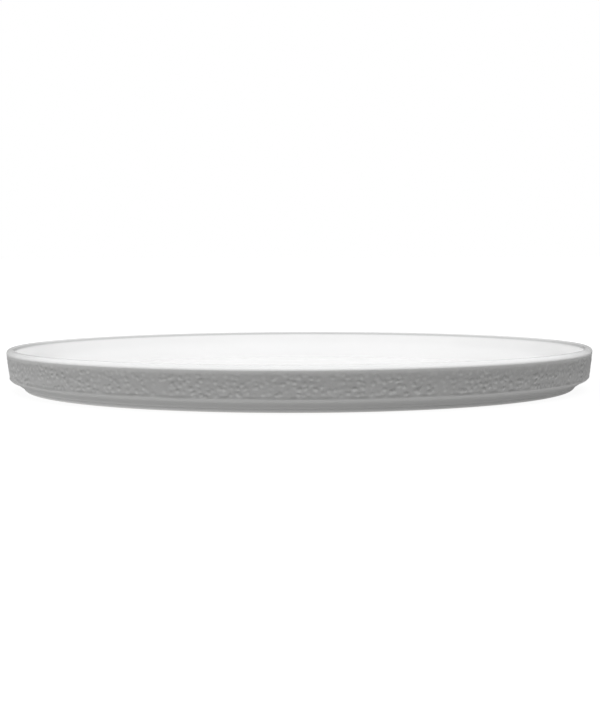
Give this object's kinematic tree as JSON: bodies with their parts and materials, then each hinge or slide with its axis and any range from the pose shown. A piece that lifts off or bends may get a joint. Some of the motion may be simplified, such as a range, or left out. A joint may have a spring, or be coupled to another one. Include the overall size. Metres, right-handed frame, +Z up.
{
  "type": "round serving platter",
  "caption": "Low round ceramic serving platter with a glossy well, a rounded lip, a pebbled outer band and a smooth foot set in under a stacking step.",
  "frame": {"origin": "on the table, under the middle of the platter", "axes": "+Z up along the axis of revolution; +X and +Y lie in the table's plane and are alike"},
  "size_m": [0.33, 0.33, 0.0235],
  "materials": {
    "bare_clay": "bare fired clay, ground smooth",
    "gloss_glaze": "clear gloss over white",
    "satin_glaze": "satin white over a pebbled relief"
  },
  "bodies": {
    "root": {"clay_body": "bare_clay", "well_glaze": "gloss_glaze", "band_glaze": "satin_glaze", "base_glaze": "gloss_glaze"}
  },
  "joints": []
}
